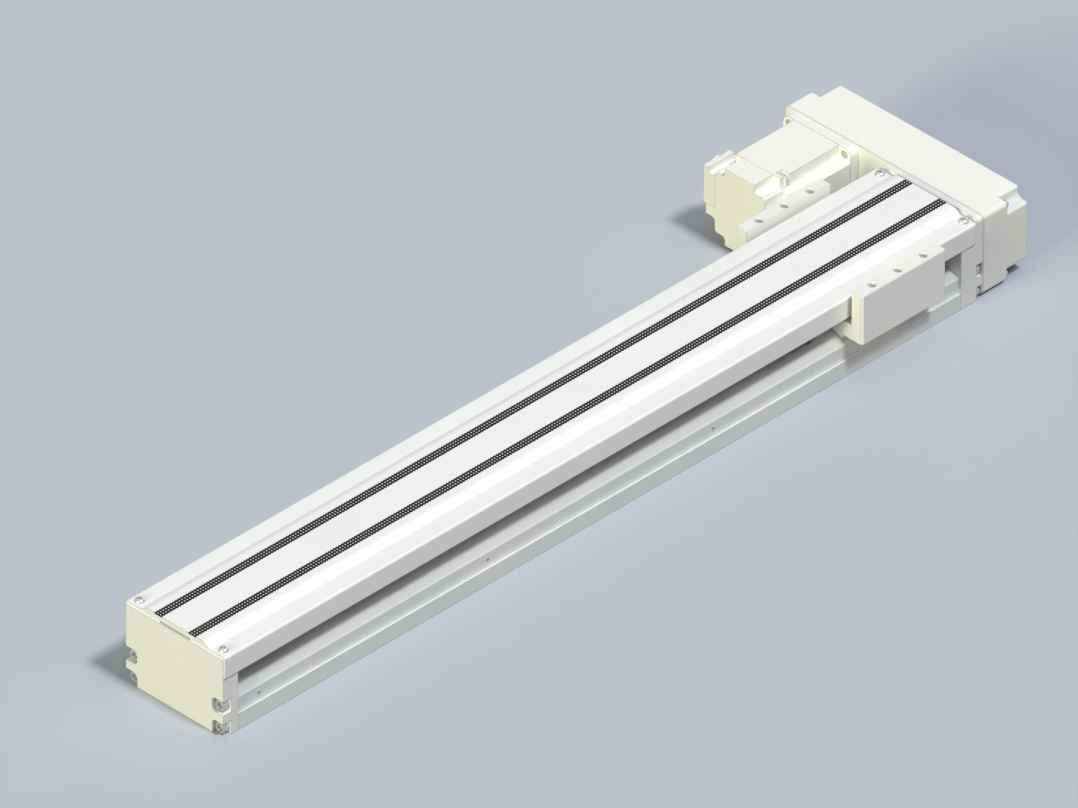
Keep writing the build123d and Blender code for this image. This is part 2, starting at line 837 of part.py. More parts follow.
def make_pulley(y, bore):
    """Toothed pulley with two flanges, centred on a shaft at y."""
    teeth = Circle(pulley_radius)
    for tooth in range(pulley_teeth):
        turned = Rot(0, 0, (tooth + 0.5) * 360 / pulley_teeth)
        teeth -= turned * Pos(pulley_radius, 0) * Circle(tooth_space_radius)
    teeth -= Circle(bore / 2)
    centre = Pos(y, axis_height)
    tooth_front = pulley_front + pulley_flange_thickness
    tooth_rear = tooth_front + pulley_tooth_length
    pulley = along(centre * teeth, tooth_front, tooth_rear)
    flange = 2 * (pulley_radius + pulley_flange_rise)
    pulley += ring(flange, bore, pulley_front, tooth_front, y)
    pulley += ring(flange, bore, tooth_rear, pulley_rear, y)
    return pulley


def make_drive_belt():
    """Belt loop round both pulleys, with an even gap to the tooth tips."""
    centre = Pos(axis_spacing / 2, axis_height)
    outer = SlotCenterToCenter(axis_spacing, 2 * (belt_inner_radius + belt_thickness))
    inner = SlotCenterToCenter(axis_spacing, 2 * belt_inner_radius)
    return along(centre * (outer - inner), belt_front, belt_front + belt_width)


def housing_section(inset):
    """Full outline of the housing, taken in by inset."""
    width, height = housing_width - 2 * inset, housing_height - 2 * inset
    radius = housing_corner_radius - inset
    return Pos(*housing_middle) * RectangleRounded(width, height, radius)


def notched_section(inset):
    """Outline of the rear part of the housing with its four corner notches, taken in by inset."""
    side = housing_width / 2 - inset
    top = housing_height / 2 - inset
    side_step = side - notch_width
    top_step = top - notch_height
    outer_radius = max(notch_outer_radius - inset, 0)
    inner_radius = notch_inner_radius + inset
    quarter = [
        (side, top_step, outer_radius),
        (side_step, top_step, inner_radius),
        (side_step, top, outer_radius),
    ]
    return Pos(*housing_middle) * outline(four_fold(quarter))


def housing_corner_places(inset):
    """Y and Z of the four places that lie inset from both outer faces of the housing."""
    ys = (housing_right + inset, housing_left - inset)
    zs = (housing_bottom + inset, housing_top - inset)
    return [(y, z) for y in ys for z in zs]


def plate_screw_places():
    """Y and Z of the screws that hold the motor plate on the rear end block."""
    heights = [housing_top - drop for drop in plate_screw_drops]
    return [(y, z) for y in sides(plate_screw_half_spacing) for z in heights]


def motor_bolt_places():
    """Y and Z of the four motor bolts."""
    reach = motor_square / 2 - motor_bolt_inset
    return [(axis_spacing + y, axis_height + z) for y in sides(reach) for z in sides(reach)]


def make_motor_plate():
    """Plate with a thin visible edge and a thicker core that fits inside the housing."""
    plate = along(housing_section(0), plate_front, plate_step)
    plate += along(housing_section(housing_wall + fit_gap), plate_step, plate_rear)
    window = retainer_diameter + 2 * retainer_clearance
    plate -= rod(window, plate_front, plate_rear)
    plate -= rod(pilot_diameter + 2 * fit_gap, plate_front, plate_rear, axis_spacing)
    head_diameter, head_height, _ = cap_head(motor_bolt)
    for y, z in motor_bolt_places():
        plate -= rod(shank_hole(motor_bolt), plate_front, plate_rear, y, z)
        plate -= rod(shank_hole(head_diameter), plate_rear - head_height, plate_rear, y, z)
    head_diameter, head_height, _ = cap_head(plate_screw)
    for y, z in plate_screw_places():
        plate -= rod(shank_hole(plate_screw), plate_front, plate_rear, y, z)
        plate -= rod(shank_hole(head_diameter), plate_rear - head_height, plate_rear, y, z)
    bottom = notch_floor - housing_screw_reach
    for y, z in housing_corner_places(housing_screw_inset):
        plate -= rod(shank_hole(housing_screw), bottom, plate_rear, y, z)
    return plate


def make_plate_screws():
    """Screws that hold the motor plate on the rear end block."""
    _, head_height, _ = cap_head(plate_screw)
    seat = plate_rear - head_height
    screw = cap_screw(plate_screw, seat - plate_front + plate_screw_reach - fit_gap)
    return [facing(seat, y, z, 1) * screw for y, z in plate_screw_places()]


def make_motor_screws():
    """Screws from inside the housing into the tapped holes of the motor flange."""
    _, head_height, _ = cap_head(motor_bolt)
    seat = plate_rear - head_height
    screw = cap_screw(motor_bolt, seat - motor_flange_front - motor_hole_relief - fit_gap)
    return [facing(seat, y, z, 1) * screw for y, z in motor_bolt_places()]


def make_housing_cover():
    """Belt housing: a thin shell with four notched corners and a screw boss in each."""
    shell = along(housing_section(0), plate_step, notch_floor)
    rear = along(notched_section(0), notch_floor, housing_rear)
    rear_edges = rear.faces().sort_by(Axis.X)[-1].edges()
    shell += chamfer(rear_edges, housing_rear_bevel)
    inner_floor = notch_floor - housing_floor_wall
    shell -= along(housing_section(housing_wall), plate_step, inner_floor)
    cavity_rear = housing_rear - housing_floor_wall
    shell -= along(notched_section(housing_wall), inner_floor, cavity_rear)
    for y, z in housing_corner_places(housing_wall + boss_size / 2):
        boss = Pos(y, z) * Rectangle(boss_size, boss_size)
        shell += along(boss & housing_section(housing_wall), plate_rear, inner_floor)
    for y, z in housing_corner_places(housing_screw_inset):
        shell -= rod(shank_hole(housing_screw), plate_rear, notch_floor, y, z)
    return shell


def make_housing_screws():
    """Screws in the corner notches of the housing."""
    screw = cap_screw(housing_screw, housing_screw_reach - fit_gap)
    places = housing_corner_places(housing_screw_inset)
    return [facing(notch_floor, y, z, 1) * screw for y, z in places]


def make_motor_flange():
    """Square flange with its pilot, a hub inside the body and the front bearing seat."""
    square = RectangleRounded(motor_square, motor_square, motor_flange_corner_radius)
    flange = along(motor_centre * square, motor_flange_front, plate_front)
    flange += rod(pilot_diameter, plate_front, plate_front + pilot_height, axis_spacing)
    seat_front = plate_front - motor_front_bearing_width
    hub = body_bore - 2 * fit_gap
    flange += rod(hub, seat_front, motor_flange_front, axis_spacing)
    flange -= rod(motor_front_bearing_outside, seat_front, plate_front, axis_spacing)
    opening = motor_front_bearing_bore + 2 * moving_gap
    flange -= rod(opening, plate_front, plate_front + pilot_height, axis_spacing)
    relief_end = motor_flange_front + motor_hole_relief
    for y, z in motor_bolt_places():
        flange -= rod(motor_hole_diameter, motor_flange_front, relief_end, y, z)
        flange -= rod(shank_hole(motor_bolt), relief_end, plate_front, y, z)
    return flange


def make_motor_body():
    """Motor body with its four corner notches and a bore for the stator."""
    side = body_square / 2
    step = side - body_notch
    quarter = [(side, step, 0), (step, step, body_notch_radius), (step, side, 0)]
    body = along(motor_centre * outline(four_fold(quarter)), body_rear, motor_flange_front)
    inner_wall = body_rear + motor_rear_bearing_width
    body -= rod(body_bore, inner_wall, motor_flange_front, axis_spacing)
    body -= rod(motor_rear_bearing_outside, body_rear, inner_wall, axis_spacing)
    return body - plug_envelope(fit_gap) - power_slot(fit_gap)


core_front = body_rear + motor_rear_bearing_width + core_end_gap
core_rear = plate_front - motor_front_bearing_width - core_end_gap


def make_motor_shaft():
    """Stepped shaft from the encoder to the motor pulley."""
    shoulder = body_rear + motor_rear_bearing_width
    tail = rod(motor_rear_bearing_bore, body_rear - shaft_tail, shoulder, axis_spacing)
    shaft = rod(shaft_diameter, shoulder, plate_front + shaft_reach, axis_spacing)
    shaft = chamfer(shaft.edges().sort_by(Axis.X)[-1], shaft_diameter / 20)
    return shaft + tail


def make_encoder_disc():
    """Thin disc on a hub at the tail of the shaft."""
    hub_front = body_rear - shaft_tail
    hub_rear = hub_front + disc_hub_length
    bore = motor_rear_bearing_bore
    disc = ring(disc_hub_diameter, bore, hub_front, hub_rear, axis_spacing)
    disc_front = hub_front + (disc_hub_length - disc_thickness) / 2
    return disc + ring(disc_diameter, bore, disc_front, disc_front + disc_thickness, axis_spacing)


def make_encoder_cover():
    """Rear cap of the motor, with double stepped corners and a round chamber."""
    side = motor_square / 2
    bevel_in = encoder_step_wide - encoder_edge_bevel
    bevel_down = encoder_step_high - encoder_edge_bevel
    quarter = [
        (side, encoder_step_low, 0),
        (encoder_step_wide, encoder_step_low, encoder_step_radius),
        (encoder_step_wide, bevel_down, 0),
        (bevel_in, encoder_step_high, 0),
        (encoder_step_narrow, encoder_step_high, encoder_step_radius),
        (encoder_step_narrow, body_square / 2, 0),
    ]
    cover = along(motor_centre * outline(four_fold(quarter)), motor_rear, body_rear)
    chamber = motor_rear + encoder_wall
    cover -= rod(encoder_cavity_diameter, chamber, body_rear, axis_spacing)
    return cover - plug_envelope(fit_gap)


def plug_envelope(gap):
    """Space of the encoder plug with a gap all round it, used to seat it in its neighbours."""
    inner = axis_spacing + motor_square / 2 - plug_width + plug_side_stand
    outer = axis_spacing + motor_square / 2 + plug_side_stand
    low = axis_height + plug_low
    high = axis_height + plug_high
    return brick(
        motor_rear - gap,
        motor_rear + plug_length + gap,
        inner - gap,
        outer + gap,
        low - gap,
        high + gap,
    )


def make_encoder_plug():
    """Plug at the rear outer corner, with a ridge, a trough beside it and a latch ramp."""
    outer = axis_spacing + motor_square / 2 + plug_side_stand
    inner = outer - plug_width
    ridge = outer - plug_ridge_width
    low = axis_height + plug_low
    high = axis_height + plug_high
    trough = axis_height + plug_trough_high
    corners = [
        (inner, low, 0),
        (outer, low, 0),
        (outer, high, 0),
        (ridge, high, 0),
        (ridge, trough, 0),
        (inner, trough, 0),
    ]
    plug = along(outline(corners), motor_rear, motor_rear + plug_length)
    ramp = Plane.XZ * make_face(
        Polyline(
            (motor_rear + latch_start, high),
            (motor_rear + latch_end, high + latch_rise),
            (motor_rear + latch_end, high),
            close=True,
        )
    )
    return plug + Pos(0, outer, 0) * extrude(ramp, latch_width, dir=(0, -1, 0))


def power_slot(gap):
    """Slot for the power plug in the inner top edge of the motor body, wider by a gap all round."""
    edge = axis_spacing - body_square / 2 + body_notch
    top = axis_height + body_square / 2
    return brick(
        body_rear + power_start - gap,
        body_rear + power_start + power_length + gap,
        edge - power_stand - power_reach,
        edge + power_reach + gap,
        top - power_depth - gap,
        top + power_depth,
    )


def power_section(inset):
    """Side view of the power plug, which stands out of the body's notch, taken in by inset."""
    edge = axis_spacing - body_square / 2 + body_notch
    top = axis_height + body_square / 2
    outer = edge - power_stand + inset
    corners = [
        (edge + power_reach, top - power_depth, 0),
        (edge + power_reach, top - power_sink - inset, 0),
        (outer, top - power_sink - inset, power_corner_radius - inset),
        (outer, top - power_depth, 0),
    ]
    return outline(corners)


def make_power_plug():
    """Small plug in its slot, with a rounded flange at each end of its core."""
    x_from = body_rear + power_start
    x_to = x_from + power_length
    plug = along(power_section(power_fin_rise), x_from, x_to)
    plug += along(power_section(0), x_from, x_from + power_fin_thickness)
    return plug + along(power_section(0), x_to - power_fin_thickness, x_to)


def write(name, shape):
    """Write one node, which may be a group of separate solids."""
    solids = shape if isinstance(shape, list) else shape.solids()
    node = Compound(children=[Solid(solid.solid().wrapped) for solid in solids])
    export_step(node, f"parts/{name}.step")
    print(name, len(solids), round(sum(solid.volume for solid in solids)))


os.makedirs("parts", exist_ok=True)

write("base_rail", make_base_rail())
write("front_end_block", make_front_end_block())
write("rear_end_block", make_rear_end_block())
write("front_block_screws", make_block_screws(block_front + front_pocket_depth, -1))
write("rear_block_screws", make_block_screws(block_rear - rear_pocket_depth, 1))
write("top_cover", make_top_cover())
write("right_mesh_strip", make_mesh_strip(-strip_centre))
write("left_mesh_strip", make_mesh_strip(strip_centre))
write("cover_screws", make_cover_screws())
write("front_bumpers", make_bumpers(rail_front, rail_front + bumper_length))
write("rear_bumpers", make_bumpers(rail_rear - bumper_length, rail_rear))
write("table", make_table())
write("table_screws", make_table_screws())
write("slide_block", make_slide_block())
write("front_end_cap", make_end_cap(slide_front, cap_front))
write("rear_end_cap", make_end_cap(slide_rear, cap_rear))
write("front_seal", make_end_seal(cap_front, cap_front - seal_thickness))
write("rear_seal", make_end_seal(cap_rear, cap_rear + seal_thickness))
write("cap_screws", make_cap_screws())
write("grease_nipple", make_grease_nipple())
write("ball_nut", make_ball_nut())
write("nut_screws", make_nut_screws())
write("ball_screw", make_ball_screw())
write("front_circlip", make_front_circlip())
write("spacer_collar", ring(collar_diameter, rear_bearing_bore, rear_ring_rear, collar_rear))
write("lock_nut", make_lock_nut())
write("bearing_retainer", make_bearing_retainer())
write("retainer_screws", make_retainer_screws())

front_size = (front_bearing_bore, front_bearing_outside, front_ring_front, front_bearing_width)
write("front_bearing_outer", outer_ring(*front_size))
write("front_bearing_inner", inner_ring(*front_size))
rear_size = (rear_bearing_bore, rear_bearing_outside)
rear_starts = rear_ring_starts()
write("rear_bearing_outers", [outer_ring(*rear_size, x, rear_bearing_width) for x in rear_starts])
write("rear_bearing_inners", [inner_ring(*rear_size, x, rear_bearing_width) for x in rear_starts])

write("screw_pulley", make_pulley(0.0, pulley_seat_diameter))
write("motor_pulley", make_pulley(axis_spacing, shaft_diameter))
write("drive_belt", make_drive_belt())
write("motor_plate", make_motor_plate())
write("plate_screws", make_plate_screws())
write("housing_cover", make_housing_cover())
write("housing_screws", make_housing_screws())

motor_front_bearing = (
    motor_front_bearing_bore,
    motor_front_bearing_outside,
    plate_front - motor_front_bearing_width,
    motor_front_bearing_width,
    axis_spacing,
)
motor_rear_bearing = (
    motor_rear_bearing_bore,
    motor_rear_bearing_outside,
    body_rear,
    motor_rear_bearing_width,
    axis_spacing,
)
motor_bearings = (motor_front_bearing, motor_rear_bearing)
write("motor_flange", make_motor_flange())
write("motor_screws", make_motor_screws())
write("motor_body", make_motor_body())
write("stator", ring(body_bore - 2 * fit_gap, stator_bore, core_front, core_rear, axis_spacing))
write("motor_bearing_outers", [outer_ring(*bearing) for bearing in motor_bearings])
write("motor_bearing_inners", [inner_ring(*bearing) for bearing in motor_bearings])
write("motor_shaft", make_motor_shaft())
write("rotor", ring(rotor_diameter, shaft_diameter, core_front, core_rear, axis_spacing))
write("encoder_disc", make_encoder_disc())
write("encoder_cover", make_encoder_cover())
write("encoder_plug", make_encoder_plug())
write("power_plug", make_power_plug())
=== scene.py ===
# %% [markdown]
# ## A linear module, from solids to a picture
#
# The object is a linear module for machines: a steel rail with a ball screw inside it, a fixed
# cover over it, a table whose arms rise on both sides of the cover, a belt housing across one
# end and a servo motor folded back beside the rail. The solids arrive as a fixed frame, each
# solid riding on the body it moves with, and this lesson gives them their surfaces.

import json
from math import pi, radians, sin

import bpy
import numpy as np
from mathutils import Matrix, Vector


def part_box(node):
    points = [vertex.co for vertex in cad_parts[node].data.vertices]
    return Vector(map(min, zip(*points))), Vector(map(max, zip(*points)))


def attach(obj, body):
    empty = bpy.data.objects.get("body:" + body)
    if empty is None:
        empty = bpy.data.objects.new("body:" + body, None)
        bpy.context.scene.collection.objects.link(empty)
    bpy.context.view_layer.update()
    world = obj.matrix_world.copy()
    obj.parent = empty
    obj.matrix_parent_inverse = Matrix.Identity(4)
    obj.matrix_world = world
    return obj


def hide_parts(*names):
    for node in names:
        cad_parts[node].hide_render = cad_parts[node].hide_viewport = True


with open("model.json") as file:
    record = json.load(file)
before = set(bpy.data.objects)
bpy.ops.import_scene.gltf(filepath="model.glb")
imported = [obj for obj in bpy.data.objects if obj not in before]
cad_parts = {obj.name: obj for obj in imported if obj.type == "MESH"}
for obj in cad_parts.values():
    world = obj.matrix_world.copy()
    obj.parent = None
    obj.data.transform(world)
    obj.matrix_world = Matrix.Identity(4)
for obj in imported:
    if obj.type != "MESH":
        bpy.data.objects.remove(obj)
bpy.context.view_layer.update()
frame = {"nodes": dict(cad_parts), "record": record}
nodes = frame["nodes"]

# %% [markdown]
# ## Camera
#
# The photograph is an isometric drawing, so lines that are parallel on the object stay parallel
# in it. A real lens comes close to that from far away: a long lens at almost nineteen metres
# frames the same width as the drawing, and the difference over the whole module is a few pixels.

# %% Camera at the drawing's angle
looked_at = Vector((0.0286, 0.0424, 0.030))
from_object = Vector((-1, -1, 1)).normalized()
distance = 18.78
lens = bpy.data.cameras.new("long_lens")
lens.lens = 1000
lens.sensor_width = 36
lens.clip_start = 1
lens.clip_end = 60
camera = bpy.data.objects.new("camera", lens)
camera.location = looked_at + distance * from_object
camera.rotation_mode = "QUATERNION"
camera.rotation_quaternion = from_object.to_track_quat("Z", "Y")
bpy.context.scene.collection.objects.link(camera)
bpy.context.scene.camera = camera
print("frame width at the object", round(distance * lens.sensor_width / lens.lens, 3), "m")

# %% [markdown]
# ## Light
#
# In the drawing every face that looks up is white, every face that looks towards the free end is
# cream and every face that looks to the near side is a plain grey. Soft suns give the same three
# steps without any paint. The near side sun stands high enough to make the tops white and low
# enough to pass under the cover's skirt, and the free end sun is low and warm. A weak one from
# above and behind evens the tops, and it leans so far that its gloss misses a camera straight
# above. Another weak one, low and from behind, keeps the housing's back readable.

# %% Suns
scene = bpy.context.scene


def add_sun(name, towards, energy, colour, softness):
    """A sun lamp that shines from the direction towards, softened to an angle in degrees."""
    lamp = bpy.data.lights.new(name, "SUN")
    lamp.energy = energy
    lamp.color = colour
    lamp.angle = radians(softness)
    sun = bpy.data.objects.new(name, lamp)
    sun.rotation_mode = "QUATERNION"
    sun.rotation_quaternion = Vector(towards).to_track_quat("Z", "Y")
    scene.collection.objects.link(sun)


add_sun("overhead", (0.55, -0.15, 1.0), 0.32, (0.86, 0.92, 1.0), 30)
add_sun("free_end", (-1.0, -0.10, 0.29), 2.30, (1.0, 0.99, 0.69), 20)
add_sun("near_side", (0.10, -1.0, 1.90), 1.94, (0.96, 0.98, 1.0), 9)
add_sun("far_side", (1.0, 0.45, 0.10), 0.45, (1.0, 1.0, 1.0), 20)
print("four suns")


# %% [markdown]
# ## World and floor
#
# The object stands on a plain pale floor in a plain pale studio. A room as pale as that would
# fill every shadow, so the Light Path node separates two things: what the camera and polished
# metal see is pale, and the light that the world and the floor give back is kept low.

# %% Two helpers for node trees
def mix_colours(tree, factor, under, over):
    """Output of a Mix node: under * (1 - factor) + over * factor, each a colour or an output."""
    mix = tree.nodes.new("ShaderNodeMix")
    mix.data_type = "RGBA"
    tree.links.new(factor, mix.inputs["Factor"])
    for label, colour in (("A", under), ("B", over)):
        if isinstance(colour, tuple):
            mix.inputs[label].default_value = colour
        else:
            tree.links.new(colour, mix.inputs[label])
    return mix.outputs["Result"]


def seen_directly(tree):
    """Output that is 1 for camera, glossy and transmission rays, 0 for the light that spreads."""
    path = tree.nodes.new("ShaderNodeLightPath")
    total = path.outputs["Is Camera Ray"]
    for ray in ("Is Glossy Ray", "Is Transmission Ray"):
        larger = tree.nodes.new("ShaderNodeMath")
        larger.operation = "MAXIMUM"
        tree.links.new(total, larger.inputs[0])
        tree.links.new(path.outputs[ray], larger.inputs[1])
        total = larger.outputs[0]
    return total


# %% World
sky_given = (0.20, 0.20, 0.20, 1.0)
sky_seen = (0.60, 0.64, 0.70, 1.0)
world = bpy.data.worlds.new("pale_studio")
world.use_nodes = True
scene.world = world
tree = world.node_tree
sky_tone = mix_colours(tree, seen_directly(tree), sky_given, sky_seen)
tree.links.new(sky_tone, tree.nodes["Background"].inputs["Color"])
scene.view_settings.view_transform = "Standard"
print("world gives", sky_given[:3], "and shows", sky_seen[:3])

# %% Floor
floor_given = (0.18, 0.18, 0.18, 1.0)
floor_seen = (0.49, 0.52, 0.60, 1.0)
floor_paint = bpy.data.materials.new("pale_floor")
floor_paint.use_nodes = True
tree = floor_paint.node_tree
floor_shade = tree.nodes["Principled BSDF"]
floor_shade.inputs["Roughness"].default_value = 0.9
floor_shade.inputs["Specular IOR Level"].default_value = 0.1
floor_tone = mix_colours(tree, seen_directly(tree), floor_given, floor_seen)
tree.links.new(floor_tone, floor_shade.inputs["Base Color"])

floor_mesh = bpy.data.meshes.new("floor")
reach = 30.0
drop = -0.0002
corners = [(x * reach, y * reach, drop) for x, y in ((-1, -1), (1, -1), (1, 1), (-1, 1))]
floor_mesh.from_pydata(corners, [], [(0, 1, 2, 3)])
floor_mesh.materials.append(floor_paint)
floor = bpy.data.objects.new("floor", floor_mesh)
scene.collection.objects.link(floor)
print("floor", 2 * reach, "m wide, just below the object")

# %% [markdown]
# ## Shared surface effects
#
# Drawn aluminium, ground steel and sprayed paint differ in scale and direction more than in kind.
# Each effect is one node group with named inputs, used by many materials with other values.
# `fine_grain` is noise that is stretched along one direction, for drawing lines and grinding
# marks. `soft_tone` moves a colour a little over large distances, as anodising does, and a little
# more with the grain. `worn_edge` compares the true normal with a rounded one, which finds the
# edges where a coat is rubbed thin and the grey metal shows. The seam group uses ambient occlusion
# over less than a millimetre and paints shade into the colour: it keeps only what is more closed
# than a plain corner, the seams and tight gaps, and darkens them as their shade would.


# %% Node groups
def start_group(name, inputs, outputs):
    """Empty shader group with the given (name, socket type, default) inputs and outputs."""
    group = bpy.data.node_groups.new(name, "ShaderNodeTree")
    for label, kind, value in inputs:
        socket = group.interface.new_socket(name=label, in_out="INPUT", socket_type=kind)
        socket.default_value = value
    for label, kind in outputs:
        group.interface.new_socket(name=label, in_out="OUTPUT", socket_type=kind)
    return group, group.nodes.new("NodeGroupInput"), group.nodes.new("NodeGroupOutput")


def make_fine_grain():
    """Noise on Object coordinates, which are first multiplied by Stretch, one factor per axis."""
    group, given, made = start_group(
        "fine_grain",
        [
            ("Stretch", "NodeSocketVector", (300.0, 3000.0, 3000.0)),
            ("Detail", "NodeSocketFloat", 3.0),
        ],
        [("Height", "NodeSocketFloat")],
    )
    place = group.nodes.new("ShaderNodeTexCoord")
    scaled = group.nodes.new("ShaderNodeVectorMath")
    scaled.operation = "MULTIPLY"
    noise = group.nodes.new("ShaderNodeTexNoise")
    noise.inputs["Scale"].default_value = 1.0
    group.links.new(place.outputs["Object"], scaled.inputs[0])
    group.links.new(given.outputs["Stretch"], scaled.inputs[1])
    group.links.new(scaled.outputs["Vector"], noise.inputs["Vector"])
    group.links.new(given.outputs["Detail"], noise.inputs["Detail"])
    group.links.new(noise.outputs["Fac"], made.inputs["Height"])
    return group


def make_soft_tone():
    """Blend of two close colours by the sum of a slow noise and the grain, from 0.7 up to 1.3."""
    group, given, made = start_group(
        "soft_tone",
        [
            ("Colour", "NodeSocketColor", (0.8, 0.8, 0.8, 1.0)),
            ("Other Colour", "NodeSocketColor", (0.75, 0.75, 0.75, 1.0)),
            ("Scale", "NodeSocketFloat", 14.0),
            ("Grain", "NodeSocketFloat", 0.5),
        ],
        [("Colour", "NodeSocketColor")],
    )
    place = group.nodes.new("ShaderNodeTexCoord")
    noise = group.nodes.new("ShaderNodeTexNoise")
    noise.inputs["Detail"].default_value = 2.0
    both = group.nodes.new("ShaderNodeMath")
    both.operation = "ADD"
    spread = group.nodes.new("ShaderNodeMapRange")
    spread.inputs["From Min"].default_value = 0.7
    spread.inputs["From Max"].default_value = 1.3
    group.links.new(place.outputs["Object"], noise.inputs["Vector"])
    group.links.new(given.outputs["Scale"], noise.inputs["Scale"])
    group.links.new(noise.outputs["Fac"], both.inputs[0])
    group.links.new(given.outputs["Grain"], both.inputs[1])
    group.links.new(both.outputs["Value"], spread.inputs["Value"])
    blend = mix_colours(
        group, spread.outputs["Result"], given.outputs["Colour"], given.outputs["Other Colour"]
    )
    group.links.new(blend, made.inputs["Colour"])
    return group


def make_worn_edge():
    """Mask of edges: Gain * (1 - rounded normal . true normal), clamped, and the rounded normal."""
    group, given, made = start_group(
        "worn_edge",
        [("Radius", "NodeSocketFloat", 0.0003), ("Gain", "NodeSocketFloat", 8.0)],
        [("Mask", "NodeSocketFloat"), ("Normal", "NodeSocketVector")],
    )
    rounded = group.nodes.new("ShaderNodeBevel")
    rounded.samples = 4
    true_shape = group.nodes.new("ShaderNodeNewGeometry")
    agree = group.nodes.new("ShaderNodeVectorMath")
    agree.operation = "DOT_PRODUCT"
    differ = group.nodes.new("ShaderNodeMath")
    differ.operation = "SUBTRACT"
    differ.inputs[0].default_value = 1.0
    gained = group.nodes.new("ShaderNodeMath")
    gained.operation = "MULTIPLY"
    gained.use_clamp = True
    group.links.new(given.outputs["Radius"], rounded.inputs["Radius"])
    group.links.new(rounded.outputs["Normal"], agree.inputs[0])
    group.links.new(true_shape.outputs["Normal"], agree.inputs[1])
    group.links.new(agree.outputs["Value"], differ.inputs[1])
    group.links.new(differ.outputs["Value"], gained.inputs[0])
    group.links.new(given.outputs["Gain"], gained.inputs[1])
    group.links.new(gained.outputs["Value"], made.inputs["Mask"])
    group.links.new(rounded.outputs["Normal"], made.inputs["Normal"])
    return group


def make_painted_seam_shade():
    """Mask of painted seam shade: the share of the view closed within Reach, from Least up to Most.

    A plain inner corner closes half of the view, so it stays under Least and is not shaded."""
    group, given, made = start_group(
        "painted_seam_shade",
        [
            ("Reach", "NodeSocketFloat", 0.0008),
            ("Least", "NodeSocketFloat", 0.55),
            ("Most", "NodeSocketFloat", 1.0),
        ],
        [("Mask", "NodeSocketFloat")],
    )
    # Ambient occlusion over a short reach: this is shade painted into the colour of tight seams.
    openness = group.nodes.new("ShaderNodeAmbientOcclusion")
    openness.samples = 8
    closed = group.nodes.new("ShaderNodeMath")
    closed.operation = "SUBTRACT"
    closed.inputs[0].default_value = 1.0
    seams = group.nodes.new("ShaderNodeMapRange")
    group.links.new(given.outputs["Reach"], openness.inputs["Distance"])
    group.links.new(openness.outputs["AO"], closed.inputs[1])
    group.links.new(closed.outputs["Value"], seams.inputs["Value"])
    group.links.new(given.outputs["Least"], seams.inputs["From Min"])
    group.links.new(given.outputs["Most"], seams.inputs["From Max"])
    group.links.new(seams.outputs["Result"], made.inputs["Mask"])
    return group


fine_grain = make_fine_grain()
soft_tone = make_soft_tone()
worn_edge = make_worn_edge()
# The group that paints shade into tight seams and sockets.
painted_seam_shade = make_painted_seam_shade()
print("groups", [group.name for group in (fine_grain, soft_tone, worn_edge, painted_seam_shade)])

# %% [markdown]
# ## Materials
#
# Every finish here is the same recipe with other numbers: a tone that drifts, a grain with a
# direction, a roughness that follows the grain, edges rubbed to the bare metal and shade painted
# into the seams. The numbers are what a maker would name: how rough, how metallic, how deep.


# %% One recipe for all finishes
def place_group(tree, group, **values):
    """Put a group into a material and set its named inputs."""
    node = tree.nodes.new("ShaderNodeGroup")
    node.node_tree = group
    for label, value in values.items():
        node.inputs[label.replace("_", " ")].default_value = value
    return node


tone_scale = 14.0
rubbed_metal = (0.13, 0.13, 0.13, 1.0)
# Dark colour of the shade that is painted into tight seams and screw sockets.
seam_shade_paint = (0.10, 0.10, 0.10, 1.0)
roughness_spread = 0.08
bump_strength = 0.5


def finish(name, colour, other, metallic, roughness, stretch, depth, edge, least=0.55):
    """Material with a drifting tone, a directed grain of some depth, rubbed edges, painted seam
    shade.

    Its colour is the tone, then rubbed metal by the edge mask, then painted shade by the seam mask."""
    material = bpy.data.materials.new(name)
    material.use_nodes = True
    tree = material.node_tree
    shade = tree.nodes["Principled BSDF"]
    shade.inputs["Metallic"].default_value = metallic
    drift = place_group(
        tree, soft_tone, Colour=(*colour, 1.0), Other_Colour=(*other, 1.0), Scale=tone_scale
    )
    grain = place_group(tree, fine_grain, Stretch=stretch)
    tree.links.new(grain.outputs["Height"], drift.inputs["Grain"])
    wear = place_group(tree, worn_edge, Radius=edge)
    # Painted shade: the ambient occlusion mask darkens the colour where a seam or socket is tight.
    seam_shade_node = place_group(tree, painted_seam_shade, Least=least)
    rubbed = mix_colours(tree, wear.outputs["Mask"], drift.outputs["Colour"], rubbed_metal)
    seam_shaded = mix_colours(tree, seam_shade_node.outputs["Mask"], rubbed, seam_shade_paint)
    tree.links.new(seam_shaded, shade.inputs["Base Color"])
    rough = tree.nodes.new("ShaderNodeMapRange")
    rough.inputs["To Min"].default_value = roughness - roughness_spread
    rough.inputs["To Max"].default_value = roughness + roughness_spread
    tree.links.new(grain.outputs["Height"], rough.inputs["Value"])
    tree.links.new(rough.outputs["Result"], shade.inputs["Roughness"])
    bump = tree.nodes.new("ShaderNodeBump")
    bump.inputs["Strength"].default_value = bump_strength
    bump.inputs["Distance"].default_value = depth
    tree.links.new(grain.outputs["Height"], bump.inputs["Height"])
    tree.links.new(wear.outputs["Normal"], bump.inputs["Normal"])
    tree.links.new(bump.outputs["Normal"], shade.inputs["Normal"])
    return material
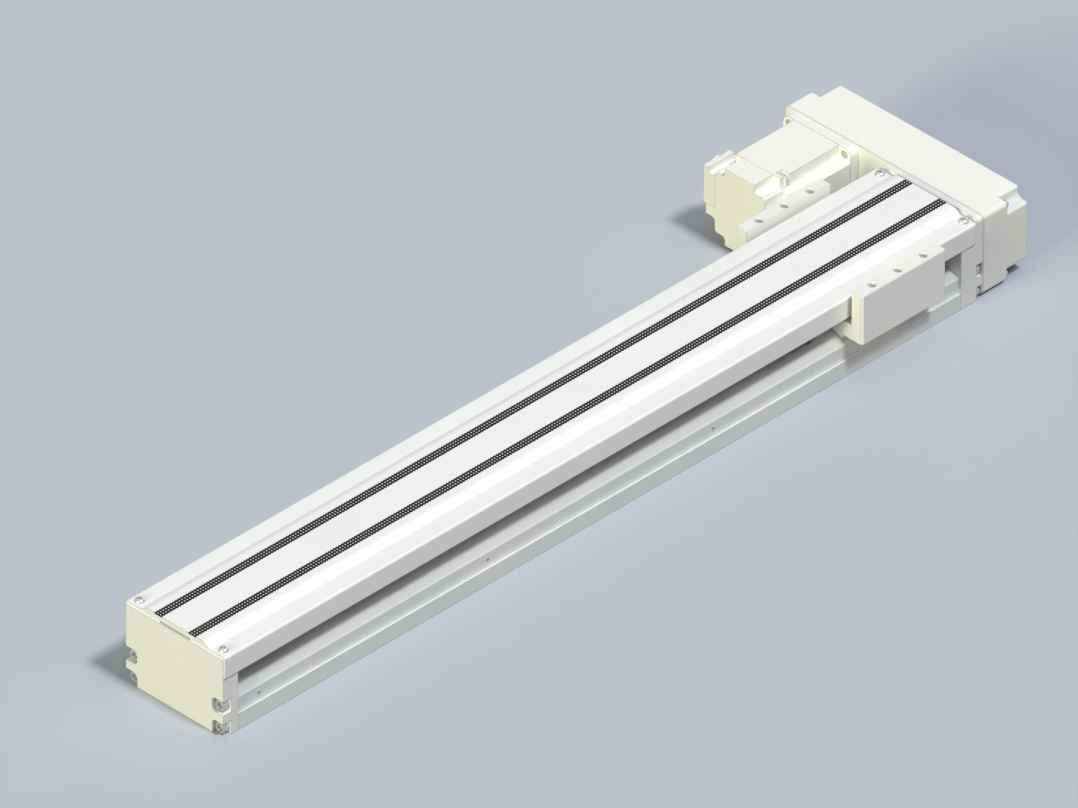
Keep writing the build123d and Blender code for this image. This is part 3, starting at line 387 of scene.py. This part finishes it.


# %% The finishes
# Each line gives the name, colour, other colour, metallic, roughness, stretch, grain depth and
# edge radius, and for screws a lower least, so that more painted shade darkens their sockets.
along_rail = (25.0, 2500.0, 2500.0)
all_round = (1400.0, 1400.0, 1400.0)
turned = (2600.0, 500.0, 500.0)
finishes = {
    "rail_steel": finish(
        "ground_steel", (0.85, 0.85, 0.85), (0.78, 0.79, 0.80), 0.14, 0.36, along_rail, 4e-5, 4e-4
    ),
    "block_aluminium": finish(
        "satin_block", (0.90, 0.90, 0.88), (0.86, 0.86, 0.84), 0.12, 0.44, all_round, 2e-5, 5e-4
    ),
    "cover_aluminium": finish(
        "drawn_cover", (0.91, 0.91, 0.90), (0.87, 0.87, 0.87), 0.12, 0.40, along_rail, 3e-5, 4e-4
    ),
    "table_aluminium": finish(
        "satin_table", (0.90, 0.90, 0.88), (0.86, 0.86, 0.85), 0.12, 0.42, all_round, 2e-5, 5e-4
    ),
    "housing_shell": finish(
        "sprayed_housing", (0.90, 0.90, 0.87), (0.87, 0.87, 0.84), 0.0, 0.46, all_round, 4e-5, 6e-4
    ),
    "motor_shell": finish(
        "sprayed_motor", (0.89, 0.89, 0.86), (0.86, 0.86, 0.83), 0.0, 0.45, all_round, 4e-5, 5e-4
    ),
    "encoder_shell": finish(
        "moulded_encoder", (0.89, 0.89, 0.86), (0.85, 0.85, 0.82), 0.0, 0.50, all_round, 5e-5, 3e-4
    ),
    "plug_plastic": finish(
        "moulded_plug", (0.86, 0.86, 0.83), (0.82, 0.82, 0.80), 0.0, 0.50, all_round, 4e-5, 2e-4
    ),
    "fastener_steel": finish(
        "plated_screws", (0.66, 0.66, 0.67), (0.58, 0.58, 0.59), 0.70, 0.34, turned, 2e-5, 2e-4, 0.3
    ),
    "precision_steel": finish(
        "polished_steel", (0.72, 0.73, 0.75), (0.66, 0.67, 0.69), 0.95, 0.22, turned, 1e-5, 1e-4
    ),
    "dark_rubber": finish(
        "black_rubber", (0.035, 0.035, 0.036), (0.05, 0.05, 0.05), 0.0, 0.68, all_round, 6e-5, 3e-4
    ),
    "pale_seal": finish(
        "pale_seal_rubber", (0.70, 0.70, 0.66), (0.64, 0.64, 0.60), 0.0, 0.62, all_round, 5e-5, 2e-4
    ),
    "cap_plastic": finish(
        "moulded_cap", (0.80, 0.80, 0.76), (0.76, 0.76, 0.72), 0.0, 0.48, all_round, 3e-5, 2e-4
    ),
    "brass": finish(
        "plain_brass", (0.78, 0.60, 0.28), (0.70, 0.52, 0.24), 0.95, 0.28, turned, 1e-5, 1e-4
    ),
    "belt_rubber": finish(
        "belt_rubber", (0.03, 0.03, 0.03), (0.045, 0.045, 0.045), 0.0, 0.62, all_round, 5e-5, 2e-4
    ),
    "stator_core": finish(
        "stacked_core", (0.24, 0.24, 0.26), (0.18, 0.18, 0.19), 0.7, 0.45, turned, 5e-5, 1e-4
    ),
    "rotor_core": finish(
        "magnet_rotor", (0.30, 0.30, 0.32), (0.25, 0.25, 0.26), 0.7, 0.38, turned, 2e-5, 1e-4
    ),
}
print(len(finishes), "finishes")

# %% [markdown]
# ## Mesh tape
#
# Two black strips of fine mesh lie flush in the cover. From the drawing's distance they read as
# black with rows of pale points. A Voronoi texture with no randomness is a square grid of cells,
# and the distance to the nearest cell centre, cut at a radius, gives one round point per cell.


# %% Black mesh with pale points
mesh_colour = (0.012, 0.012, 0.013, 1.0)
point_colour = (0.78, 0.78, 0.76, 1.0)


def make_mesh_tape(pitch, hole):
    """Dark tape of square cells of one pitch: pale where the way to a centre is under hole."""
    material = bpy.data.materials.new("mesh_tape")
    material.use_nodes = True
    tree = material.node_tree
    shade = tree.nodes["Principled BSDF"]
    place = tree.nodes.new("ShaderNodeTexCoord")
    cells = tree.nodes.new("ShaderNodeTexVoronoi")
    cells.voronoi_dimensions = "2D"
    cells.inputs["Scale"].default_value = 1.0 / pitch
    cells.inputs["Randomness"].default_value = 0.0
    tree.links.new(place.outputs["Object"], cells.inputs["Vector"])
    point = tree.nodes.new("ShaderNodeMapRange")
    point.inputs["From Min"].default_value = hole / pitch
    point.inputs["From Max"].default_value = 0.75 * hole / pitch
    tree.links.new(cells.outputs["Distance"], point.inputs["Value"])
    tint = mix_colours(tree, point.outputs["Result"], mesh_colour, point_colour)
    tree.links.new(tint, shade.inputs["Base Color"])
    bump = tree.nodes.new("ShaderNodeBump")
    bump.inputs["Strength"].default_value = bump_strength
    bump.inputs["Distance"].default_value = 2e-4
    bump.invert = True
    tree.links.new(point.outputs["Result"], bump.inputs["Height"])
    tree.links.new(bump.outputs["Normal"], shade.inputs["Normal"])
    shade.inputs["Roughness"].default_value = 0.65
    shade.inputs["Specular IOR Level"].default_value = 0.15
    return material


mesh_pitch = 0.0023
finishes["mesh_black"] = make_mesh_tape(mesh_pitch, 0.00054)
print("a mesh of", 1000 * mesh_pitch, "mm")

# %% [markdown]
# ## Dressing the solids
#
# Each solid names the kind of stuff that it is made of, and that name picks its finish. Only the
# two seals differ: they are rubber, and a pale one, because they show cream in the drawing.

# %% Dress every solid
slot_of = {entry["node"]: entry["material_slot"] for entry in frame["record"]["subparts"]}
own_finish = {"front_seal": "pale_seal", "rear_seal": "pale_seal"}
for name, solid in nodes.items():
    solid.data.materials.clear()
    solid.data.materials.append(finishes[own_finish.get(name, slot_of[name])])
print("dressed", len(nodes), "solids")

# %% [markdown]
# ## Turned pieces
#
# Screws and shafts are all made on a lathe or by rolling, so one way covers them: a table of
# rings, each with a radius for every angle and a height, skinned with four sided faces and closed
# by a point at each end. A hexagon socket is only a ring whose radius changes with the angle.


# %% Skin a stack of rings
def turned_skin(radii, heights, columns):
    """Points of rings (radius, height) round a local axis, closed at both ends by a pole.

    radii has one row per ring and one value per column, or one value for the whole ring."""
    angle = 2 * pi * np.arange(columns) / columns
    rows = [np.broadcast_to(np.asarray(radius, float), (columns,)) for radius in radii]
    ring = np.stack(rows)
    height = np.repeat(np.asarray(heights, float)[:, None], columns, axis=1)
    points = np.stack([ring * np.cos(angle), ring * np.sin(angle), height], axis=-1)
    first = np.array([0.0, 0.0, heights[0]])
    last = np.array([0.0, 0.0, heights[-1]])
    return np.vstack([points.reshape(-1, 3), first, last])


def turned_faces(rings, columns):
    """Faces between neighbouring rings, then the fans at both poles, all looking outwards."""
    row, column = np.meshgrid(np.arange(rings - 1), np.arange(columns), indexing="ij")
    after = (column + 1) % columns
    low, high = row * columns, (row + 1) * columns
    quads = np.stack([low + column, low + after, high + after, high + column], axis=-1)
    edge = np.arange(columns)
    beside = (edge + 1) % columns
    bottom, top = rings * columns, rings * columns + 1
    end = (rings - 1) * columns
    foot = np.stack([beside, edge, np.full(columns, bottom)], axis=-1)
    head = np.stack([end + edge, end + beside, np.full(columns, top)], axis=-1)
    return quads.reshape(-1, 4).tolist() + foot.tolist() + head.tolist()


def add_piece(name, points, faces, stands_for, body, slot, sharp=35):
    """Mesh object from arrays, which stands for a solid and rides on its body.

    Edges that turn by more than sharp degrees stay sharp, and all others are smooth."""
    mesh = bpy.data.meshes.new(name)
    mesh.from_pydata(points.tolist(), [], faces)
    mesh.materials.append(finishes[slot])
    mesh.shade_smooth()
    mesh.set_sharp_from_angle(angle=radians(sharp))
    piece = bpy.data.objects.new(name, mesh)
    scene.collection.objects.link(piece)
    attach(piece, body)
    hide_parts(stands_for)
    print(name, len(points), "points,", len(faces), "faces")


def turned_to(points, centre, axis):
    """Carry local points so that their third axis lies along +x, -x or +z, at a centre."""
    frames = {
        "+x": ((0, 1, 0), (0, 0, 1), (1, 0, 0)),
        "-x": ((0, 1, 0), (0, 0, -1), (-1, 0, 0)),
        "+z": ((1, 0, 0), (0, 1, 0), (0, 0, 1)),
    }
    return points @ np.array(frames[axis], float) + np.asarray(centre, float)


# %% [markdown]
# ## Socket head and button head screws
#
# A cap screw is a knurled round head with a hexagon socket and a shank. The knurl is a small
# wave in the radius of the head's side. A button head has the same socket in a shallow dome. The
# solids give only plain heads, so these stand for them at the same places, read from the boxes.


# %% Screw profiles
screw_columns = 72
screw_angle = 2 * pi * np.arange(screw_columns) / screw_columns


def hexagon(width, angle):
    """Distance from the centre to a hexagon's side at each angle, for a width across flats."""
    return width / 2 / np.cos(np.mod(angle + pi / 6, pi / 3) - pi / 6)


def socket_rings(width, top, depth):
    """Rings of a hexagon socket: a round lead in, the six sides and the floor."""
    six = hexagon(width, screw_angle)
    lead = 0.60 * width
    return [lead, six, six, 0.0 * six], [top, top - 0.12 * width, top - depth, top - 1.1 * depth]


def head_radius(size):
    """Radius of a cap screw's head: three quarters of its size and half a millimetre."""
    return 0.75 * size + 0.0005


def cap_screw(size, reach):
    """Knurled cap screw, seat at height 0 and tip at -reach: tip, shank, head, socket.

    The knurl is the head's radius times 1 - 0.012 (1 + cos(24 angle))."""
    radius, shank = head_radius(size), size / 2
    knurl = radius * (1 - 0.012 * (1 + np.cos(24 * screw_angle)))
    radii = [0.8 * shank, shank, shank, 0.94 * radius, knurl, knurl, 0.93 * radius]
    heights = [-reach, -reach + 0.2 * shank, 0.0, 0.0, 0.06 * size, 0.86 * size, size]
    inner, levels = socket_rings(0.8 * size, size, 0.55 * size)
    return radii + inner, heights + levels


def button_screw(size, reach, width, rise):
    """Domed screw, seat at height 0 and tip at -reach: tip, shank, rim, dome, socket.

    On the dome the radius is width / 2 * cos(lean)^0.8 and the height is rise * sin(lean) /
    sin(60 degrees), for a lean from 6 degrees at the rim to 60 degrees at the socket."""
    radius, shank = width / 2, size / 2
    lean = np.radians([6, 24, 42, 60])
    dome = list(radius * np.cos(lean) ** 0.8)
    climb = list(rise * np.sin(lean) / sin(radians(60)))
    radii = [0.8 * shank, shank, shank, radius, radius] + dome
    heights = [-reach, -reach + 0.2 * shank, 0.0, 0.0, 0.08 * rise] + climb
    inner, levels = socket_rings(0.6 * size, rise, 0.6 * rise)
    return radii + inner, heights + levels


def screw_group(name, body, seats, axis, profile):
    """One mesh of equal screws at several seats, which stands for the solid of that name."""
    radii, heights = profile
    one = turned_skin(radii, heights, screw_columns)
    faces = turned_faces(len(radii), screw_columns)
    points = np.vstack([turned_to(one, seat, axis) for seat in seats])
    starts = [place * len(one) for place in range(len(seats))]
    shifted = [[corner + start for corner in face] for start in starts for face in faces]
    add_piece(name + "_turned", points, shifted, name, body, "fastener_steel")


def four_corners(name, radius, seat):
    """Seats of four screws along X whose heads of one radius touch the corners of the box."""
    low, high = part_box(name)
    ys = (low.y + radius, high.y - radius)
    zs = (low.z + radius, high.z - radius)
    return [(seat, y, z) for y in ys for z in zs]


# %% Cap screws of the blocks and the housing
m3, m4, m5 = 0.003, 0.004, 0.005
cap_groups = [
    ("front_block_screws", m5, "-x"),
    ("rear_block_screws", m5, "+x"),
    ("housing_screws", m3, "+x"),
]
for name, size, axis in cap_groups:
    low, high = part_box(name)
    seat = low.x + size if axis == "-x" else high.x - size
    seats = four_corners(name, head_radius(size), seat)
    screw_group(name, "base", seats, axis, cap_screw(size, high.x - low.x - size))

# %% Button head screws of the cover
low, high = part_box("cover_screws")
rise, width = 0.0022, 0.007
button = button_screw(m4, high.z - low.z - rise, width, rise)
xs = (low.x + width / 2, high.x - width / 2)
ys = (low.y + width / 2, high.y - width / 2)
seats = [(x, y, high.z - rise) for x in xs for y in ys]
screw_group("cover_screws", "base", seats, "+z", button)

# %% [markdown]
# ## Ball screw
#
# The screw shows through the long gaps below the cover. Its thread is a round groove that winds
# to the right with a lead of ten millimetres. One surface does it: the radius is the bar's
# radius less a groove whose depth depends on how far the angle is from the helix at that place.
# The solid is a plain bar with turned ends, and its steps are repeated here.


# %% Screw with its rolled thread
def bar_steps(low, high, thick):
    """Ends of the bar as rows of (x, radius): the front journal, then the rear journals.

    low and high are the ends of the bar, and thick is the radius of its threaded middle."""
    journal, bearing_journal = 0.005, 0.006
    bevel, end_bevel = 0.0005, 0.0008
    plain = 0.0055
    middle_from, middle_to = low + 0.007, 0.3223
    shoulder = high - 0.022
    front = [
        (low, journal - bevel),
        (low + bevel, journal),
        (middle_from, journal),
        (middle_from, thick - bevel),
        (middle_from + bevel, thick),
        (middle_from + plain, thick),
    ]
    rear = [
        (middle_to - plain, thick),
        (middle_to - bevel, thick),
        (middle_to, thick - bevel),
        (middle_to, bearing_journal),
        (shoulder, bearing_journal),
        (shoulder, journal),
        (high - end_bevel, journal),
        (high, journal - end_bevel),
    ]
    return np.array(front), np.array(rear)


def wound_screw(lead, groove_half, depth, step, columns):
    """Radius of a right hand screw over rings along X and columns round it, and the rings' x.

    The phase is angle / 2 pi - x / lead, taken from -0.5 to 0.5. The groove is depth * sqrt(1 -
    (phase * lead / groove_half)^2) deep, and fades out over fade_length at both ends."""
    low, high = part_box("ball_screw")
    thick = (high.z - low.z) / 2
    front, rear = bar_steps(low.x, high.x, thick)
    middle = np.arange(front[-1, 0] + step, rear[0, 0] - step, step)
    x = np.concatenate([front[:, 0], middle, rear[:, 0]])
    radius = np.concatenate([front[:, 1], np.full(len(middle), thick), rear[:, 1]])
    angle = 2 * pi * np.arange(columns) / columns
    phase = np.mod(angle[None, :] / (2 * pi) - x[:, None] / lead + 0.5, 1.0) - 0.5
    across = np.clip(1 - (phase * lead / groove_half) ** 2, 0, None)
    fade_length = 0.004
    fade_in = np.clip((x - middle[0]) / fade_length, 0, 1)
    fade_out = np.clip((middle[-1] - x) / fade_length, 0, 1)
    return radius[:, None] - depth * (fade_in * fade_out)[:, None] * np.sqrt(across), x


bar_columns = 40
screw_axis = 0.0318
screw_rings, screw_x = wound_screw(
    lead=0.010, groove_half=0.0017, depth=0.0011, step=0.0005, columns=bar_columns
)
screw_points = turned_skin(list(screw_rings), screw_x, bar_columns)
screw_points = turned_to(screw_points, (0.0, 0.0, screw_axis), "+x")
add_piece(
    "ball_screw_wound",
    screw_points,
    turned_faces(len(screw_x), bar_columns),
    "ball_screw",
    "screw",
    "precision_steel",
    60,
)
